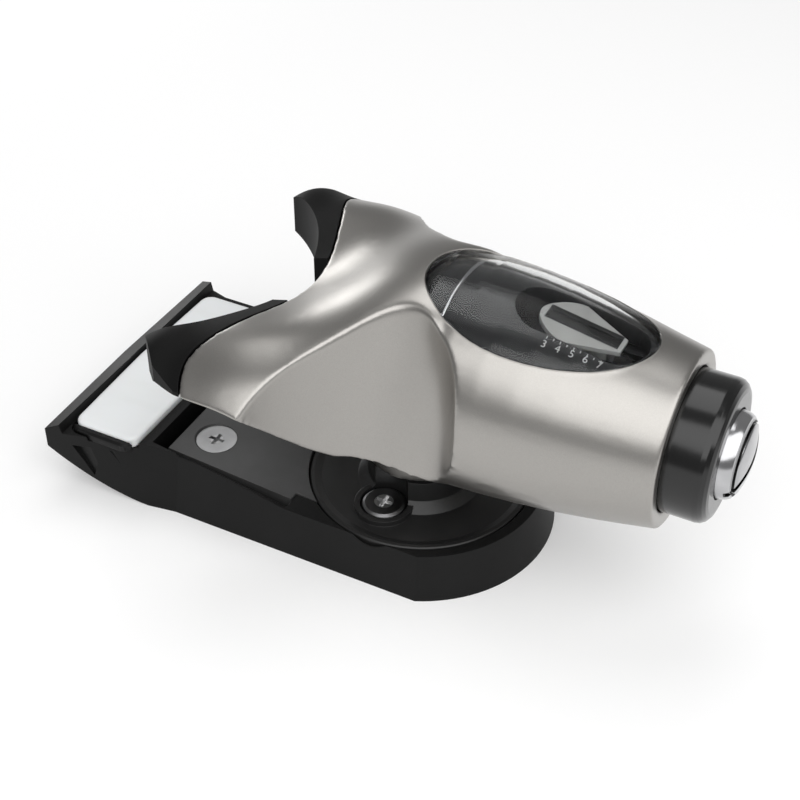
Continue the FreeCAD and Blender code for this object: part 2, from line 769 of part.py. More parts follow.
def neck_groove(rear, front, depth):
    """A groove in the screw's neck, as part of its half profile."""
    return [(rear, neck_r), (rear, neck_r - depth), (front, neck_r - depth), (front, neck_r)]


def adjusting_screw():
    collar_rear = clip_x - collar_length
    seal_half = seal_r + seal_groove_gap
    profile = [(screw_rear_x, 0), (screw_rear_x, screw_r - screw_bevel),
               (screw_rear_x + screw_bevel, screw_r), (collar_rear, screw_r), (collar_rear, neck_r)]
    profile += neck_groove(clip_x, clip_x + circlip_thickness, circlip_groove)
    profile += neck_groove(seal_x - seal_half, seal_x + seal_half, seal_groove_depth)
    profile += [(head_seat_x, neck_r), (head_seat_x, head_r)]
    for i in range(edge_steps + 1):
        share = 1 - i / edge_steps
        profile.append((head_front_x - dome_height * share ** 2, head_r * share))
    slot = Part.makeBox(slot_depth + overrun, 4 * head_r, slot_width,
                        V(head_front_x - slot_depth, -2 * head_r, barrel_z - slot_width / 2))
    slot.rotate(V(0, 0, barrel_z), X_AXIS, slot_tilt)
    return revolved(profile).cut(slot)


def screw_seal():
    centre_r = neck_r - seal_r - running_gap
    radius = seal_r - running_gap / 2
    angles = [2 * math.pi * (i + 0.5) / wire_sides for i in range(wire_sides)]
    return revolved([(seal_x + radius * math.sin(a), centre_r + radius * math.cos(a))
                     for a in angles])


def screw_thrust_washer():
    rear = clip_x + circlip_thickness + running_gap
    return tube(washer_r, neck_r + running_gap, rear, rear + washer_thickness)


def screw_circlip():
    clip = split_clip(neck_r - circlip_groove + running_gap, neck_r + circlip_reach)
    clip.rotate(V(0, 0, 0), Y_AXIS, 90)
    clip.translate(V(clip_x, 0, barrel_z))
    return clip


def end_ring():
    hole_r = neck_r + 2 * running_gap
    recess_x = head_seat_x - 2 * running_gap
    recess_radius = head_r + seat_gap
    profile = [(ring_rear_x, hole_r), (ring_rear_x, ring_r)]
    profile += rounded_edge(ring_front_x, ring_r, ring_edge_r)
    profile += [(ring_front_x, recess_radius), (recess_x, recess_radius), (recess_x, hole_r)]
    return revolved(profile)


# ---- every piece and its node
def export(shape, node):
    shape = shape.copy()
    shape.translate(V(pivot_x, 0, 0))
    shape.exportStep("parts/" + node + ".step")
    solids = len(shape.Solids)
    print(node, "solids", solids, "valid", shape.isValid(), "volume", round(shape.Volume, 1))


def main():
    os.makedirs("parts", exist_ok=True)
    export(base_carrier(), "base_carrier")
    export(friction_pad(), "friction_pad")
    export(mounting_plate(), "mounting_plate")
    export(swivel_disc(), "swivel_disc")
    export(Part.makeCompound(at_screws(rear_screw_x, flat_head_screw)), "rear_mounting_screws")
    export(Part.makeCompound(at_screws(front_screw_x, pan_head_screw)), "front_mounting_screws")
    export(pivot_post(), "pivot_post")
    export(thrust_washer(), "pivot_thrust_washer")
    export(pivot_bush(), "pivot_bush")
    export(pivot_circlip(), "pivot_circlip")
    export(housing_shell(), "housing_shell")
    export(window_lens(), "window_lens")
    export(wing_liner(1), "wing_liner_left")
    export(wing_liner(-1), "wing_liner_right")
    export(spring_piston(), "spring_piston")
    export(release_spring(), "release_spring")
    export(spring_drum(), "spring_drum")
    export(scale_insert(), "scale_insert")
    export(adjuster_nut(), "adjuster_nut")
    export(tension_indicator(), "tension_indicator")
    export(adjusting_screw(), "adjusting_screw")
    export(screw_seal(), "screw_seal")
    export(screw_thrust_washer(), "screw_thrust_washer")
    export(screw_circlip(), "screw_circlip")
    export(end_ring(), "end_ring")


main()
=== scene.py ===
# Alpine ski binding toe piece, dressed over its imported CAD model. Metres, +Z up, +X towards the
# ski tip. The lengths below repeat the CAD's own; the pad and the spring are read from their nodes.

import json
import math

import bmesh
import bpy
from mathutils import Matrix, Vector


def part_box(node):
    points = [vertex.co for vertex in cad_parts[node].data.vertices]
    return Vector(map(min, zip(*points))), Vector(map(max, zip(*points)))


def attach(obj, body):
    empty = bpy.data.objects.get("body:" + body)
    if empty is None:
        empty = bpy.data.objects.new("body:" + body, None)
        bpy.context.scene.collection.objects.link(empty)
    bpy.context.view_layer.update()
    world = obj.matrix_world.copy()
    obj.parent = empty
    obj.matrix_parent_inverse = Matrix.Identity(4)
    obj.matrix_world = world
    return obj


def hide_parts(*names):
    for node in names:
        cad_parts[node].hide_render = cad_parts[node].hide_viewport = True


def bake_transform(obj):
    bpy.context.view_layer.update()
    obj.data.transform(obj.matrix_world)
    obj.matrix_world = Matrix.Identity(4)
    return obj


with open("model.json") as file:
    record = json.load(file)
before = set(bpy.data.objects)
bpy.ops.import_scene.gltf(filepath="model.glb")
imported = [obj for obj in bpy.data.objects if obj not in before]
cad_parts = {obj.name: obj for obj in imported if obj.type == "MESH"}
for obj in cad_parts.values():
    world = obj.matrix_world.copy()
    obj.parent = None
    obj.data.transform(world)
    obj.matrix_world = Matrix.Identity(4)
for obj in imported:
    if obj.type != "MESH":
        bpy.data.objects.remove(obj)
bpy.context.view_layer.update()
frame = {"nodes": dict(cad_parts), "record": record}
MM = 0.001

# Lengths forward of the pivot axis, in millimetres, as the housing is laid out.
PIVOT_X = 24.5
BORE_Z = 43.5
# station, outer radius, height of the section's centre above the bore's axis
BARREL = [(-4.0, 22.6, 0.9), (5.0, 24.9, 1.2), (14.0, 25.2, 1.2), (22.0, 24.8, 1.1),
          (30.0, 24.1, 0.9), (38.0, 23.1, 0.6), (46.0, 21.8, 0.3), (53.0, 20.5, 0.1),
          (60.0, 19.2, 0.0)]
WINDOW_X = 23.2
WINDOW_FRONT = 28.8
WINDOW_REAR = 21.4
WINDOW_HALF = 15.7
WINDOW_FLOOR = 8.0              # above the bore's axis
WINDOW_GAP = 0.15
INSERT_DEPTH = 2.4
# extent of the painted shade in the pointer's groove
GROOVE_REAR = 28.1
GROOVE_FRONT = 44.1
GROOVE_NEAR = 1.75
GROOVE_FAR = 2.7
HEAD_SLOT = 1.8
HEAD_SLOT_TILT = math.radians(26.0)
HEAD_REAR = 64.4
GROOVE_RADII = (7.45, 8.15)     # turned groove on the head, where painted shade darkens the chrome
HEAD_SHADOWS_FROM = 71.3
# turned outline of the adjusting screw's head: station, radius
HEAD = [(64.0, 0.0), (64.0, 9.3), (64.3, 9.6), (68.4, 9.6), (70.2, 9.5), (71.4, 9.2),
        (72.2, 8.75), (72.6, 8.15), (71.9, 8.0), (72.1, 7.55), (73.05, 7.45), (73.5, 6.2),
        (73.86, 4.8), (74.16, 3.2), (74.34, 1.6), (74.4, 0.0)]
SKIN_VOXEL = 0.46
SKIN_TRIANGLES = 170000.0
SADDLE_X = -3.0
SADDLE_REACH = 12.0
SADDLE_FOOT = 50.0              # height where the blend starts
SADDLE_RISE = 8.0
SADDLE_PASSES = 60
RING_X = 9.6
RING_HALF = 11.3
RING_WIRE = 0.42
SCALE_START_X = 31.2
FIGURE_PITCH = 2.9
FIGURE_SIZE = 2.3
FIGURE_SIDE = -9.0
FIGURE_DRIFT = 0.22             # sideways from one figure to the next
TICK_PITCH = 1.45
TICK_COUNT = 9
TICK_SIDE = -7.45
TICK_WIDTH = 0.22
PRINT_HEIGHT = 0.05
PAD_VOXEL = 0.3
PAD_INSET = 1.7
PAD_RIM = 1.55
PAD_RIM_HEIGHT = 0.8            # share of the pad's thickness
# driver recesses, from the frame's origin
SCREW_X = 22.2
SCREW_Y = 14.3


def metres(x):
    """World X of a length forward of the pivot axis."""
    return (x + PIVOT_X) * MM


def place(x, y, z):
    return Vector((metres(x), y * MM, z * MM))


def barrel_at(x):
    """Radius and centre height of the barrel at a station."""
    for rear, front in zip(BARREL, BARREL[1:]):
        if rear[0] <= x <= front[0]:
            share = (x - rear[0]) / (front[0] - rear[0])
            return (rear[1] + (front[1] - rear[1]) * share,
                    BORE_Z + rear[2] + (front[2] - rear[2]) * share)


# ---- shader maths
class Signal:
    """A socket's output that can be used in Python expressions."""

    def __init__(self, finish, socket):
        self.finish = finish
        self.socket = socket

    def _math(self, operation, first, second=0.0):
        node = self.finish.node("ShaderNodeMath", {"operation": operation}, {0: first, 1: second})
        return Signal(self.finish, node.outputs[0])

    def __add__(self, other):
        return self._math("ADD", self, other)

    def __sub__(self, other):
        return self._math("SUBTRACT", self, other)

    def __rsub__(self, other):
        return self._math("SUBTRACT", other, self)

    def __mul__(self, other):
        return self._math("MULTIPLY", self, other)

    def __pow__(self, other):
        return self._math("POWER", self, other)

    __radd__ = __add__
    __rmul__ = __mul__

    def larger(self, other):
        return self._math("MAXIMUM", self, other)

    def over(self, other):
        return self._math("GREATER_THAN", self, other)

    def ramp(self, low, high):
        """0 below low, 1 above high, with a smooth turn between them."""
        node = self.finish.node("ShaderNodeMapRange", {"interpolation_type": "SMOOTHSTEP"},
                                {"Value": self, "From Min": low, "From Max": high})
        return Signal(self.finish, node.outputs[0])


class Finish:
    """A node material with one Principled surface."""

    def __init__(self, name, **sockets):
        self.material = bpy.data.materials.new(name)
        self.material.use_nodes = True
        self.tree = self.material.node_tree
        self.surface = self.tree.nodes["Principled BSDF"]
        self.place = self.node("ShaderNodeTexCoord").outputs["Object"]
        self.set(**sockets)

    def node(self, kind, settings=None, inputs=None):
        node = self.tree.nodes.new(kind)
        for name, value in (settings or {}).items():
            setattr(node, name, value)
        for name, value in (inputs or {}).items():
            self.link(value, node.inputs[name])
        return node

    def link(self, value, socket):
        if isinstance(value, Signal):
            value = value.socket
        if isinstance(value, bpy.types.NodeSocket):
            self.tree.links.new(value, socket)
        elif isinstance(value, tuple) and len(value) == 3 and len(socket.default_value) == 4:
            socket.default_value = value + (1.0,)
        else:
            socket.default_value = value

    def set(self, **sockets):
        for name, value in sockets.items():
            self.link(value, self.surface.inputs[name.replace("_", " ")])

    def grain(self, scale, detail=3.0, stretch=(1.0, 1.0, 1.0)):
        """Noise in the piece's own space, 0 to 1, about scale spots per metre."""
        place = self.node("ShaderNodeMapping", None, {"Vector": self.place, "Scale": stretch})
        noise = self.node("ShaderNodeTexNoise", None, {"Vector": place.outputs[0], "Scale": scale,
                                                       "Detail": detail})
        return Signal(self, noise.outputs["Fac"])

    def axis(self, name):
        node = self.node("ShaderNodeSeparateXYZ", None, {0: self.place})
        return Signal(self, node.outputs[name])

    def blend(self, factor, first, second):
        node = self.node("ShaderNodeMix", {"data_type": "RGBA"},
                         {"Factor": factor, 6: first, 7: second})
        return node.outputs[2]

    def bump(self, height, distance, strength=1.0, edge=0.25 * MM):
        """Fine relief over corners that are rounded by edge."""
        corner = self.node("ShaderNodeBevel", {"samples": 6}, {"Radius": edge})
        node = self.node("ShaderNodeBump", None,
                         {"Height": height, "Distance": distance, "Strength": strength,
                          "Normal": corner.outputs[0]})
        return node.outputs[0]

    def fixed(self, **values):
        """Values that are the same all over, on the surface's own sockets."""
        for name, value in values.items():
            self.surface.inputs[name.replace("_", " ")].default_value = value


def satin_silver():
    """Sprayed warm silver over moulded alloy: fine flake, slightly uneven gloss."""
    f = Finish("satin_silver")
    f.fixed(Metallic=1.0)
    flake = f.grain(9000.0, 1.0)
    cloud = f.grain(38.0, 4.0)
    tone = f.blend(flake.ramp(0.35, 0.7) * 0.4 + cloud * 0.25, (0.335, 0.323, 0.306),
                   (0.465, 0.450, 0.428))
    f.set(Base_Color=tone, Roughness=cloud * 0.06 + flake * 0.05 + 0.27,
          Normal=f.bump(flake, 0.01 * MM, 0.35, 0.45 * MM))
    return f.material


def moulded_black(name="moulded_black", tone=0.0045, rough=0.42, gloss=0.18):
    """Glass-filled nylon with a spark-eroded grain and faint handling marks."""
    f = Finish(name)
    f.fixed(Specular_IOR_Level=gloss)
    grit = f.grain(5200.0, 2.0)
    patch = f.grain(60.0, 5.0)
    colour = f.blend(patch.ramp(0.3, 0.75) * 0.6 + grit * 0.3, (tone,) * 3, (tone * 1.9,) * 3)
    f.set(Base_Color=colour, Roughness=rough + patch * 0.12 - grit * 0.05,
          Normal=f.bump(grit, 0.03 * MM, 0.5))
    return f.material


def gloss_black():
    """Polished acetal of the end ring, with fine turning marks."""
    f = Finish("gloss_black")
    f.fixed(Specular_IOR_Level=0.5)
    marks = f.grain(300.0, 3.0, (30.0, 1.0, 1.0))
    f.set(Base_Color=f.blend(marks, (0.004, 0.004, 0.004), (0.008, 0.008, 0.008)),
          Roughness=marks * 0.08 + 0.13, Normal=f.bump(marks, 0.006 * MM, 0.3))
    return f.material


def smoked_plastic():
    """Glossy dark moulding of the scale insert and the drum."""
    f = Finish("smoked_plastic")
    f.fixed(Specular_IOR_Level=0.4)
    cloud = f.grain(90.0, 3.0)
    f.set(Base_Color=f.blend(cloud, (0.013, 0.013, 0.014), (0.026, 0.026, 0.027)),
          Roughness=cloud * 0.06 + 0.17, Normal=f.bump(cloud, 0.01 * MM, 0.1))
    return f.material


def polished_steel(name, tone, rough, stretch=(1.0, 1.0, 1.0), painted_light=None):
    """Plated or bare steel with fine drawn marks and slight dulling, and a mask of painted light if
    given.
    """
    f = Finish(name)
    f.fixed(Metallic=1.0)
    marks = f.grain(900.0, 4.0, stretch)
    dull = f.grain(120.0, 3.0)
    colour = f.blend(dull.ramp(0.3, 0.7), tuple(c * 0.82 for c in tone), tone)
    if painted_light:
        # painted shade or painted highlight from the caller's mask
        mask, paint = painted_light(f)
        colour = f.blend(mask, colour, paint)
    f.set(Base_Color=colour, Roughness=marks * 0.10 + dull * 0.08 + rough,
          Normal=f.bump(marks, 0.01 * MM, 0.25, 0.15 * MM))
    return f.material


def pad_white():
    """Low-friction plastic of the boot rest: nearly white, polished by use."""
    f = Finish("pad_white")
    f.fixed(Subsurface_Weight=0.05, Specular_IOR_Level=0.4)
    wear = f.grain(70.0, 5.0, (1.0, 3.0, 1.0))
    fine = f.grain(2500.0, 2.0)
    f.set(Base_Color=f.blend(wear.ramp(0.35, 0.8), (0.86, 0.86, 0.86), (0.83, 0.83, 0.825)),
          Roughness=wear * 0.06 + 0.36, Normal=f.bump(fine, 0.01 * MM, 0.25, 0.5 * MM))
    return f.material


def clear_window():
    """Clear polycarbonate over the scale."""
    f = Finish("clear_window", Base_Color=(0.97, 0.98, 0.98))
    f.fixed(Transmission_Weight=1.0, IOR=1.16)
    haze = f.grain(220.0, 3.0)
    f.set(Roughness=haze * 0.03)
    return f.material


def pointer_grey():
    """Light moulded pointer, with painted shade darkening the groove along its middle."""
    f = Finish("pointer_grey")
    f.fixed(Specular_IOR_Level=0.4)
    # painted shade over the groove
    groove = (f.axis("X").over(metres(GROOVE_REAR)) * (1 - f.axis("X").over(metres(GROOVE_FRONT)))
              * f.axis("Y").over(-GROOVE_NEAR * MM) * (1 - f.axis("Y").over(GROOVE_FAR * MM)))
    cloud = f.grain(400.0, 3.0)
    body = f.blend(cloud, (0.27, 0.27, 0.262), (0.37, 0.37, 0.36))
    f.set(Base_Color=f.blend(groove, body, (0.008, 0.008, 0.008)), Roughness=cloud * 0.1 + 0.28,
          Normal=f.bump(cloud, 0.01 * MM, 0.3))
    return f.material


def head_shadows(f):
    """Painted shade in the turned groove and the driver slot of the adjusting screw's head."""
    side = f.axis("Y")
    up = f.axis("Z") - BORE_Z * MM
    distance = (side * side + up * up) ** 0.5
    inner, outer = GROOVE_RADII
    groove = distance.over(inner * MM) * (1 - distance.over(outer * MM))
    across = up * math.cos(HEAD_SLOT_TILT) - side * math.sin(HEAD_SLOT_TILT)
    slot = 1 - ((across * across) ** 0.5).over(HEAD_SLOT * 0.52 * MM)
    front = f.axis("X").over(metres(HEAD_SHADOWS_FROM))
    return groove.larger(slot) * front, (0.008, 0.008, 0.008)


def recess_highlight(x, y, reach, highlight_tone):
    """Painted highlight: a lighter tone in the driver recess of the two heads at a station."""
    def painted_light(f):
        along = f.axis("X") - x
        near = f.axis("Y") + y
        far = f.axis("Y") - y
        mask = 1 - ((along * along + near * near) ** 0.5).over(reach * MM) * (
            ((along * along + far * far) ** 0.5).over(reach * MM))
        return mask, (highlight_tone,) * 3
    return painted_light


SILVER = satin_silver()
BLACK = moulded_black()
LINER = moulded_black("liner_black", 0.003, 0.5, 0.12)
RING = gloss_black()
# painted shade in the head's groove and driver slot
CHROME = polished_steel("chrome", (0.52, 0.52, 0.53), 0.09, painted_light=head_shadows)
RING_STEEL = polished_steel("ring_steel", (0.60, 0.60, 0.61), 0.08)
# painted highlight in the driver recesses of the rear and front screws
ZINC = polished_steel("zinc_screw", (0.55, 0.55, 0.555), 0.26,
                      painted_light=recess_highlight(-SCREW_X * MM, SCREW_Y * MM, 1.5, 0.6))
DARK_SCREW = polished_steel("dark_screw", (0.20, 0.20, 0.205), 0.24,
                            painted_light=recess_highlight(SCREW_X * MM, SCREW_Y * MM, 2.2, 0.75))
SPRING = polished_steel("spring_steel", (0.30, 0.30, 0.31), 0.22)
BRONZE = polished_steel("bush_bronze", (0.42, 0.28, 0.12), 0.28)
PLATE = moulded_black("plate_grey", 0.040, 0.36, 0.4)
DISC = moulded_black("disc_black", 0.011, 0.30, 0.4)
DRUM = smoked_plastic()
PRINT = moulded_black("scale_print", 0.36, 0.35, 0.3)
POINTER = pointer_grey()
PAD = pad_white()
LENS = clear_window()

FINISHES = {
    "base_carrier": BLACK, "friction_pad": PAD, "mounting_plate": PLATE, "swivel_disc": DISC,
    "rear_mounting_screws": ZINC, "front_mounting_screws": DARK_SCREW, "pivot_post": SPRING,
    "pivot_thrust_washer": DISC, "pivot_bush": BRONZE, "pivot_circlip": SPRING,
    "housing_shell": SILVER, "window_lens": LENS, "wing_liner_left": LINER,
    "wing_liner_right": LINER, "spring_piston": SPRING, "release_spring": SPRING,
    "spring_drum": DRUM, "scale_insert": DRUM, "adjuster_nut": SPRING,
    "tension_indicator": POINTER, "adjusting_screw": CHROME, "screw_seal": LINER,
    "screw_thrust_washer": SPRING, "screw_circlip": SPRING, "end_ring": RING,
}


def finish_nodes():
    for name, material in FINISHES.items():
        node = frame["nodes"][name]
        node.data.materials.clear()
        node.data.materials.append(material)


# ---- tools for new pieces
def only(piece):
    bpy.ops.object.select_all(action="DESELECT")
    piece.select_set(True)
    bpy.context.view_layer.objects.active = piece


def merged_copy(node, name):
    """A copy of a CAD node's mesh with its loose triangles joined, as a piece of its own."""
    source = frame["nodes"][node]
    piece = bpy.data.objects.new(name, source.data.copy())
    bpy.context.scene.collection.objects.link(piece)
    only(piece)
    bpy.ops.object.mode_set(mode="EDIT")
    bpy.ops.mesh.select_all(action="SELECT")
    bpy.ops.mesh.remove_doubles(threshold=0.002 * MM)
    bpy.ops.object.mode_set(mode="OBJECT")
    return piece


def body_of(node):
    bodies = frame["record"]["behaviour"]["bodies"]
    return next(body for body, nodes in bodies.items() if node in nodes)


def stands_for(piece, node):
    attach(piece, body_of(node))
    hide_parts(node)


def smooth_edges(piece, angle=32.0):
    only(piece)
    bpy.ops.object.shade_smooth_by_angle(angle=math.radians(angle))


def fine_remesh(piece, voxel, passes):
    """Even mesh with softly rounded edges."""
    only(piece)
    remesh = piece.modifiers.new("remesh", "REMESH")
    remesh.mode = "VOXEL"
    remesh.voxel_size = voxel
    bpy.ops.object.modifier_apply(modifier="remesh")
    relax = piece.modifiers.new("relax", "SMOOTH")
    relax.factor = 0.5
    relax.iterations = passes
    bpy.ops.object.modifier_apply(modifier="relax")
    bpy.ops.object.shade_smooth()


def choose(piece, wanted):
    """In edit mode: select only the points whose place passes the test."""
    bpy.ops.mesh.select_all(action="DESELECT")
    mesh = bmesh.from_edit_mesh(piece.data)
    for vert in mesh.verts:
        vert.select = wanted(vert.co)
    mesh.select_flush(True)
    bmesh.update_edit_mesh(piece.data)


def window_cutter(margin):
    """Egg-shaped prism through the top of the barrel."""
    half = (WINDOW_HALF + margin) * MM
    centre = place(WINDOW_X, 0, BORE_Z + WINDOW_FLOOR - margin)
    bpy.ops.object.select_all(action="DESELECT")
    bpy.ops.mesh.primitive_circle_add(vertices=144, radius=half, fill_type="NGON")
    cutter = bpy.context.object
    bpy.ops.object.mode_set(mode="EDIT")
    for length, side in ((WINDOW_FRONT, 1), (WINDOW_REAR, -1)):
        choose(cutter, lambda point, side=side: point.x * side > 1e-7)
        bpy.ops.transform.resize(value=((length + margin) * MM / half, 1, 1),
                                 center_override=(0, 0, 0))
    bpy.ops.mesh.select_all(action="SELECT")
    bpy.ops.transform.translate(value=centre)
    bpy.ops.mesh.extrude_region_move(TRANSFORM_OT_translate={"value": (0, 0, 40.0 * MM)})
    bpy.ops.mesh.select_all(action="SELECT")
    bpy.ops.mesh.normals_make_consistent(inside=False)
    bpy.ops.object.mode_set(mode="OBJECT")
    return cutter


def cut(piece, cutter):
    boolean = piece.modifiers.new("cut", "BOOLEAN")
    boolean.object = cutter
    boolean.operation = "DIFFERENCE"
    boolean.solver = "EXACT"
    only(piece)
    bpy.ops.object.modifier_apply(modifier="cut")
    bpy.data.objects.remove(cutter, do_unlink=True)


def joined(pieces, name):
    bpy.ops.object.select_all(action="DESELECT")
    for piece in pieces:
        piece.select_set(True)
    bpy.context.view_layer.objects.active = pieces[0]
    bpy.ops.object.join()
    pieces[0].name = name
    return pieces[0]


def relaxed_where(piece, amount, passes):
    """Smooth the piece by an amount from 0 to 1 that depends on the place."""
    group = piece.vertex_groups.new(name="blend")
    for vert in piece.data.vertices:
        weight = amount(vert.co)
        if weight > 0.01:
            group.add([vert.index], min(weight, 1.0), "REPLACE")
    relax = piece.modifiers.new("relax", "SMOOTH")
    relax.vertex_group = "blend"
    relax.factor = 0.5
    relax.iterations = passes
    only(piece)
    bpy.ops.object.modifier_apply(modifier="relax")
    piece.vertex_groups.clear()


def saddle_weight(point):
    """1 where the wings flow into the barrel's crown, fading out within a few millimetres."""
    x = point.x / MM - PIVOT_X
    fore_aft = max(0.0, 1.0 - abs(x - SADDLE_X) / SADDLE_REACH)
    height = max(0.0, min(1.0, (point.z / MM - SADDLE_FOOT) / SADDLE_RISE))
    return min(1.0, 1.6 * fore_aft) * height


def housing():
    """Cast housing: blended skin over wings and barrel, with the window cut clean through it."""
    skin = merged_copy("housing_shell", "housing_skin")
    plug = merged_copy("window_lens", "window_plug")
    only(plug)
    bpy.ops.object.mode_set(mode="EDIT")
    bpy.ops.mesh.select_all(action="SELECT")
    bpy.ops.transform.resize(value=(1.012, 1.018, 1.0), center_override=place(WINDOW_X, 0, BORE_Z))
    bpy.ops.object.mode_set(mode="OBJECT")
    skin = joined([skin, plug], "housing_skin")
    fine_remesh(skin, SKIN_VOXEL * MM, 5)
    relaxed_where(skin, saddle_weight, SADDLE_PASSES)
    thin = skin.modifiers.new("thin", "DECIMATE")
    triangles = sum(len(face.vertices) - 2 for face in skin.data.polygons)
    thin.ratio = min(1.0, SKIN_TRIANGLES / triangles)
    only(skin)
    bpy.ops.object.modifier_apply(modifier="thin")
    cut(skin, window_cutter(WINDOW_GAP))
    smooth_edges(skin, 38.0)
    skin.data.materials.clear()
    skin.data.materials.append(SILVER)
    stands_for(skin, "housing_shell")


def scale_ring():
    """Thin polished ring across the insert, behind the scale."""
    radius, centre_z = barrel_at(RING_X)
    radius -= INSERT_DEPTH
    spread = math.asin(RING_HALF / radius)
    bpy.ops.object.select_all(action="DESELECT")
    bpy.ops.mesh.primitive_circle_add(vertices=10, radius=RING_WIRE * MM, fill_type="NGON",
                                      location=place(RING_X, 0, centre_z + radius))
    ring = bpy.context.object
    ring.name = "scale_ring"
    bpy.ops.object.mode_set(mode="EDIT")
    bpy.ops.mesh.select_all(action="SELECT")
    axle = place(RING_X, 0, centre_z)
    bpy.ops.transform.rotate(value=math.pi / 2, orient_axis="X", center_override=ring.location)
    bpy.ops.object.mode_set(mode="OBJECT")
    bpy.ops.object.transform_apply(location=True, rotation=True, scale=True)
    bpy.ops.object.mode_set(mode="EDIT")
    bpy.ops.mesh.select_all(action="SELECT")
    bpy.ops.transform.rotate(value=-spread, orient_axis="X", center_override=axle)
    bpy.ops.mesh.spin(steps=36, angle=2 * spread, center=axle, axis=(1, 0, 0))
    bpy.ops.mesh.select_all(action="SELECT")
    bpy.ops.mesh.normals_make_consistent(inside=False)
    bpy.ops.object.mode_set(mode="OBJECT")
    bpy.ops.object.shade_smooth()
    ring.data.materials.append(RING_STEEL)
    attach(ring, "housing")


def boot_pad():
    """Sole pad with softly rounded rims, set in a little from the ends of its recess."""
    pad = merged_copy("friction_pad", "boot_pad")
    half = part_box("friction_pad")[1][1]
    only(pad)
    bpy.ops.object.mode_set(mode="EDIT")
    for side in (-1, 1):
        choose(pad, lambda point, side=side: point.y * side > half * 0.5)
        bpy.ops.transform.translate(value=(0, -PAD_INSET * side * MM, 0))
    bpy.ops.object.mode_set(mode="OBJECT")
    fine_remesh(pad, PAD_VOXEL * MM, 4)
    pad.data.materials.clear()
    pad.data.materials.append(PAD)
    stands_for(pad, "friction_pad")


def pad_frame():
    """Black rims that close the two ends of the pad's recess."""
    rims = merged_copy("friction_pad", "pad_frame")
    low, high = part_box("friction_pad")
    centre = ((low[0] + high[0]) / 2, 0.0, (low[2] + high[2]) / 2)
    bpy.ops.object.select_all(action="DESELECT")
    bpy.ops.mesh.primitive_cube_add(size=1.0)
    middle_block = bpy.context.object
    bpy.ops.object.mode_set(mode="EDIT")
    bpy.ops.mesh.select_all(action="SELECT")
    bpy.ops.transform.resize(value=(60.0 * MM, 2 * (high[1] - PAD_RIM * MM), 10.0 * MM))
    bpy.ops.transform.translate(value=centre)
    bpy.ops.object.mode_set(mode="OBJECT")
    cut(rims, middle_block)
    only(rims)
    bpy.ops.object.mode_set(mode="EDIT")
    bpy.ops.mesh.select_all(action="SELECT")
    bpy.ops.transform.resize(value=(1.0, 1.0, PAD_RIM_HEIGHT),
                             center_override=(centre[0], 0.0, low[2]))
    bpy.ops.object.mode_set(mode="OBJECT")
    smooth_edges(rims, 30.0)
    rims.data.materials.clear()
    rims.data.materials.append(BLACK)
    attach(rims, body_of("base_carrier"))


def sprung_coil():
    """Release spring between its piston and the adjuster nut, smooth-shaded and left with its place
    baked in.
    """
    coil = merged_copy("release_spring", "release_coil")
    smooth_edges(coil, 40.0)
    coil.data.materials.clear()
    coil.data.materials.append(SPRING)
    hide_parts("release_spring")
    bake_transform(coil)


def turned(outline, name, steps=96):
    """Solid of revolution about the bore's axis."""
    bpy.ops.object.select_all(action="DESELECT")
    bpy.ops.mesh.primitive_circle_add(vertices=len(outline), radius=1.0, fill_type="NOTHING")
    piece = bpy.context.object
    piece.name = name
    for vert, (x, radius) in zip(piece.data.vertices, outline):
        vert.co = place(x, 0, BORE_Z + radius)
    axle = place(0, 0, BORE_Z)
    bpy.ops.object.mode_set(mode="EDIT")
    bpy.ops.mesh.select_all(action="SELECT")
    bpy.ops.mesh.spin(steps=steps, angle=2 * math.pi, center=axle, axis=(1, 0, 0))
    bpy.ops.mesh.select_all(action="SELECT")
    bpy.ops.mesh.remove_doubles(threshold=0.004 * MM)
    bpy.ops.mesh.dissolve_degenerate(threshold=0.001 * MM)
    bpy.ops.mesh.select_all(action="SELECT")
    bpy.ops.mesh.normals_make_consistent(inside=False)
    bpy.ops.object.mode_set(mode="OBJECT")
    return piece


def slot_cutter():
    """Tilted bar across the front of the adjusting screw's head."""
    centre = place(HEAD[-1][0], 0, BORE_Z)
    bpy.ops.object.select_all(action="DESELECT")
    bpy.ops.mesh.primitive_cube_add(size=1.0)
    cutter = bpy.context.object
    bpy.ops.object.mode_set(mode="EDIT")
    bpy.ops.mesh.select_all(action="SELECT")
    bpy.ops.transform.resize(value=(5.6 * MM, HEAD_SLOT * MM, 30.0 * MM))
    bpy.ops.object.mode_set(mode="OBJECT")
    turn = Matrix.Rotation(HEAD_SLOT_TILT - math.pi / 2, 4, "X")
    cutter.data.transform(Matrix.Translation(centre) @ turn)
    return cutter


def adjusting_screw():
    """Screw with a domed head, turned groove and driver slot."""
    shank = merged_copy("adjusting_screw", "adjusting_screw_turned")
    only(shank)
    bpy.ops.object.mode_set(mode="EDIT")
    bpy.ops.mesh.select_all(action="SELECT")
    bpy.ops.mesh.bisect(plane_co=place(HEAD_REAR, 0, BORE_Z), plane_no=(1, 0, 0), use_fill=True,
                        clear_outer=True)
    bpy.ops.object.mode_set(mode="OBJECT")
    head = turned(HEAD, "head")
    cut(head, slot_cutter())
    screw = joined([shank, head], "adjusting_screw_turned")
    smooth_edges(screw, 40.0)
    screw.data.materials.clear()
    screw.data.materials.append(CHROME)
    stands_for(screw, "adjusting_screw")


def on_insert(piece, x, y):
    """Lay a flat piece, made at the origin in XY, on the insert's curved face."""
    radius, centre_z = barrel_at(x)
    radius -= INSERT_DEPTH
    slope = math.atan((barrel_at(x - 1)[0] - barrel_at(x + 1)[0]) / 2)
    lean = math.asin(y / radius)
    turn = Matrix.Rotation(-lean, 4, "X") @ Matrix.Rotation(slope, 4, "Y")
    spot = place(x, y, centre_z + math.sqrt(radius ** 2 - y ** 2))
    piece.data.transform(Matrix.Translation(spot) @ turn)
    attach(piece, "housing")


